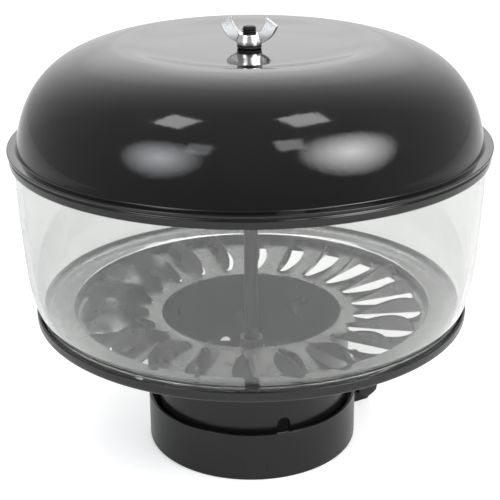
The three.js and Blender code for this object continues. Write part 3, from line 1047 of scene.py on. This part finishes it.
def on_bolt_line(name, part, body, node, crease):
    """Puts a dark steel fastener drawn on Z, head end up, onto the clamp bolt's line."""
    vertices, faces = part
    placed = moved(vertices, ACROSS_EARS)
    return make_piece(name, placed, faces, DARK_STEEL, body, "dark_steel", [node], crease)


def washer_solid(bottom):
    top = bottom + WASHER_THICK
    outline = [
        (STUD_BORE_R, bottom, 0.2),
        (WASHER_R, bottom, 0.35),
        (WASHER_R, top, 0.35),
        (STUD_BORE_R, top, 0.2),
    ]
    return lathe(filleted(outline), FINE_AROUND)


def make_clamp_fasteners():
    """The clamp bolt with its washer at one ear, and the nut with its washer at the other."""
    washer_at = EAR_OUTSIDE + FASTENER_GAP
    seat = washer_at + WASHER_THICK + FASTENER_GAP
    bolt_end = seat - BOLT_LENGTH
    head = hexagon_solid(seat, seat + BOLT_HEAD_HEIGHT, 0, cut_bottom=False)
    shank = threaded_rod(bolt_end, seat + 0.5, [(bolt_end, bolt_end + BOLT_THREADED)])
    nut = hexagon_solid(-seat - CLAMP_NUT_HEIGHT, -seat, STUD_BORE_R)
    on_bolt_line("clamp_bolt_hex", joined(head, shank), "clamp_bolt", "clamp_bolt", 25)
    bolt_washer = washer_solid(washer_at)
    on_bolt_line("clamp_bolt_washer_disc", bolt_washer, "bolt_washer", "clamp_bolt_washer", 45)
    nut_washer = washer_solid(-washer_at - WASHER_THICK)
    on_bolt_line("clamp_nut_washer_disc", nut_washer, "clamp", "clamp_nut_washer", 45)
    on_bolt_line("clamp_nut_hex", nut, "clamp", "clamp_nut", 25)


# ---- Everything in place ------------------------------------------------------------------

make_cover()
make_ring(
    "cover_gasket_ring", "cover_gasket", RUBBER, "cover", "black_rubber", 0.4, inner=BOWL_R - BOWL_WALL)
make_bowl()
make_ring(
    "bowl_seal_ring", "bowl_seal", RUBBER, "base", "black_rubber", 0.3, inner=BOWL_FOOT_R - BOWL_WALL)
make_base_tray()
make_vane_ring()
make_neck()
make_stud_bar()
make_stud()
for which in ("upper", "lower"):
    make_stud_nut("stud_" + which + "_nut")
    washer = "stud_" + which + "_washer"
    make_ring(washer + "_disc", washer, DULL_ZINC, "base", "zinc_plate", 0.3, FINE_AROUND)
make_ring("seal_washer_disc", "seal_washer", RUBBER, "nut_seal", "black_rubber", 0.25, FINE_AROUND, shy=0.8)
make_wing_nut()
make_clamp_band()
make_clamp_fasteners()


# ---- Studio -------------------------------------------------------------------------------

WHITE = (1, 1, 1, 1)
DAYLIGHT = (0.92, 0.96, 1)
FLOOR_GLOW = (0.12, 0.45)  # (as it lights and shows in the object, behind it)
FLOOR_HALF = 3  # half its side, in metres, as are the next two
FLOOR_Z = -0.0002
SOFTBOX_DISTANCE = 1.3
GLOW_ELEVATION = 33  # of the backdrop's brightest part, in degrees
GLOW_BY_ANGLE = [  # (degrees from the brightest part, radiance), from the camera's side round to it
    (165, 0.2), (140, 0.3), (110, 0.42), (85, 0.5), (58, 0.55),
    (45, 0.72), (34, 1.0), (24, 1.35), (12, 2.3), (0, 3.4),
]
CAMERA_PLACE = (0, -0.4809, 0.2751)  # metres
CAMERA_PITCH = 21.39  # degrees down from level
CAMERA_ROLL = -0.44  # degrees
CAMERA_LENS = 85.49  # mm, on a sensor 36 mm wide
CAMERA_SHIFT = -0.00184


def make_world():
    """A white backdrop. In reflections it glows brightest behind and above the object."""
    world = bpy.data.worlds.new("studio")
    bpy.context.scene.world = world
    world.use_nodes = True
    nodes = world.node_tree.nodes
    links = world.node_tree.links
    direction = nodes.new("ShaderNodeTexCoord")
    towards = nodes.new("ShaderNodeVectorMath")
    towards.operation = "DOT_PRODUCT"
    lift = math.radians(GLOW_ELEVATION)
    towards.inputs[1].default_value = (0, math.cos(lift), math.sin(lift))
    links.new(direction.outputs["Generated"], towards.inputs[0])
    near = remap(nodes, links, towards.outputs["Value"], 0, 1, -1, 1)
    fade = nodes.new("ShaderNodeValToRGB")
    stops = fade.color_ramp.elements
    while len(stops) < len(GLOW_BY_ANGLE):
        stops.new(0.5)
    peak = GLOW_BY_ANGLE[-1][1]
    for stop, (degrees, glow) in zip(stops, GLOW_BY_ANGLE):
        stop.position = (math.cos(math.radians(degrees)) + 1) / 2
        stop.color = (glow / peak, glow / peak, glow / peak, 1)
    links.new(near, fade.inputs["Fac"])
    reflected = nodes["Background"]
    reflected.inputs["Strength"].default_value = peak
    links.new(fade.outputs["Color"], reflected.inputs["Color"])
    plain = nodes.new("ShaderNodeBackground")
    plain.inputs["Color"].default_value = WHITE
    rays = nodes.new("ShaderNodeLightPath")
    bounces = nodes.new("ShaderNodeMath")
    bounces.operation = "ADD"
    bounces.use_clamp = True
    links.new(rays.outputs["Glossy Depth"], bounces.inputs[0])
    links.new(rays.outputs["Diffuse Depth"], bounces.inputs[1])
    choose = nodes.new("ShaderNodeMixShader")
    links.new(bounces.outputs["Value"], choose.inputs["Fac"])
    links.new(plain.outputs["Background"], choose.inputs[1])
    links.new(reflected.outputs["Background"], choose.inputs[2])
    links.new(choose.outputs["Shader"], nodes["World Output"].inputs["Surface"])


def make_floor():
    """A pale floor that glows a little, as an overexposed studio floor does, but not inside the neck's
    circle: there its missing glow is painted shade.
    """
    mesh = bpy.data.meshes.new("floor")
    signs = [(-1, -1), (1, -1), (1, 1), (-1, 1)]
    mesh.from_pydata([(x * FLOOR_HALF, y * FLOOR_HALF, FLOOR_Z) for x, y in signs], [], [[0, 1, 2, 3]])
    floor = bpy.data.objects.new("floor", mesh)
    bpy.context.scene.collection.objects.link(floor)
    material, nodes, links, shader = new_material("pale_floor")
    paper = object_noise(nodes, links, 60)
    colour = tint(nodes, links, paper, (0.72, 0.72, 0.72), (0.74, 0.74, 0.74))
    links.new(colour, shader.inputs["Base Color"])
    shader.inputs["Roughness"].default_value = 0.9
    shader.inputs["Emission Color"].default_value = WHITE
    place = nodes.new("ShaderNodeTexCoord")
    distance = nodes.new("ShaderNodeVectorMath")
    distance.operation = "LENGTH"
    links.new(place.outputs["Object"], distance.inputs[0])
    # The glow stops inside the neck's circle: painted shade on the floor seen through the neck's slots.
    neck_r = NECK_R * MM
    glow_off_for_painted_neck_shade = remap(nodes, links, distance.outputs["Value"], 0, 1, neck_r, neck_r * 1.1)
    rays = nodes.new("ShaderNodeLightPath")
    glow = nodes.new("ShaderNodeMath")
    glow.operation = "MULTIPLY"
    links.new(glow_off_for_painted_neck_shade, glow.inputs[0])
    links.new(remap(nodes, links, rays.outputs["Is Camera Ray"], *FLOOR_GLOW, 0, 1), glow.inputs[1])
    links.new(glow.outputs["Value"], shader.inputs["Emission Strength"])
    mesh.materials.append(material)


def rectangle_fade(nodes, links, place, edge):
    """1 over the middle of a lamp, falling to 0 at its sides over the outer share edge of its half size."""
    split = nodes.new("ShaderNodeSeparateXYZ")
    links.new(place, split.inputs["Vector"])
    both = nodes.new("ShaderNodeMath")
    both.operation = "MULTIPLY"
    for axis, socket in zip(("X", "Y"), both.inputs):
        centred = nodes.new("ShaderNodeMath")
        centred.operation = "PINGPONG"
        centred.inputs[1].default_value = 0.5
        links.new(split.outputs[axis], centred.inputs[0])
        links.new(remap(nodes, links, centred.outputs["Value"], 0, 1, 0, edge / 2), socket)
    return both.outputs["Value"]


def oval_fade(nodes, links, place):
    """1 at a lamp's centre, falling evenly to 0 at the oval that just fits in it."""
    distance = nodes.new("ShaderNodeVectorMath")
    distance.operation = "DISTANCE"
    distance.inputs[1].default_value = (0.5, 0.5, 0)
    links.new(place, distance.inputs[0])
    return remap(nodes, links, distance.outputs["Value"], 1, 0, 0, 0.5)


def make_softbox(name, azimuth, elevation, width, height, glow, edge=0.2, roll=0, colour=(1, 1, 1)):
    """An area light aimed at the cover, with soft edges. An edge of 1 makes it an oval glow.

    Angles are in degrees: azimuth 0 is the camera's side and 90 its right, and roll turns the lamp about
    its own axis. The size is in metres. The glow is the radiance of the lamp's brightest part.
    """
    data = bpy.data.lights.new(name, "AREA")
    data.shape = "RECTANGLE"
    data.size = width
    data.size_y = height
    data.energy = glow * math.pi * width * height
    data.color = colour
    data.use_nodes = True
    nodes = data.node_tree.nodes
    links = data.node_tree.links
    place = nodes.new("ShaderNodeNewGeometry")
    if edge < 1:
        fade = rectangle_fade(nodes, links, place.outputs["Parametric"], edge)
    else:
        fade = oval_fade(nodes, links, place.outputs["Parametric"])
    links.new(fade, nodes["Emission"].inputs["Strength"])
    light = bpy.data.objects.new(name, data)
    light.visible_camera = False
    across = math.radians(azimuth)
    up = math.radians(elevation)
    away = Vector((math.sin(across) * math.cos(up), -math.cos(across) * math.cos(up), math.sin(up)))
    light.location = Vector((0, 0, SKIRT_Z * MM)) + away * SOFTBOX_DISTANCE
    level = away.to_track_quat("Z", "Y").to_matrix()
    light.rotation_euler = (level @ Matrix.Rotation(math.radians(roll), 3, "Z")).to_euler()
    bpy.context.scene.collection.objects.link(light)


def make_camera():
    """The photograph's viewpoint: a short telephoto a little above the object."""
    data = bpy.data.cameras.new("camera")
    data.sensor_width = 36
    data.lens = CAMERA_LENS
    data.shift_x = CAMERA_SHIFT
    camera = bpy.data.objects.new("camera", data)
    tip_down = Matrix.Rotation(math.pi / 2 - math.radians(CAMERA_PITCH), 4, "X")
    roll = Matrix.Rotation(math.radians(CAMERA_ROLL), 4, "Z")
    camera.matrix_world = Matrix.Translation(CAMERA_PLACE) @ tip_down @ roll
    bpy.context.scene.collection.objects.link(camera)
    bpy.context.scene.camera = camera


make_world()
make_floor()
make_softbox("right_window", 51.5, 31, 1.15, 0.92, 18, edge=1, roll=-16)
make_softbox("right_strip", 23, 47, 0.28, 0.28, 4.5, edge=0.3)
make_softbox("left_strip", -28, 42, 0.27, 0.28, 3, edge=0.4, colour=DAYLIGHT)
make_softbox("right_top", 61, 70, 0.36, 0.32, 7, roll=-20)
make_softbox("left_top", -68, 64, 0.3, 0.32, 6.8, roll=14)
make_softbox("left_window", -45, 29, 0.92, 0.78, 11, edge=1, roll=14, colour=DAYLIGHT)
make_camera()
bpy.context.scene.view_settings.view_transform = "Standard"
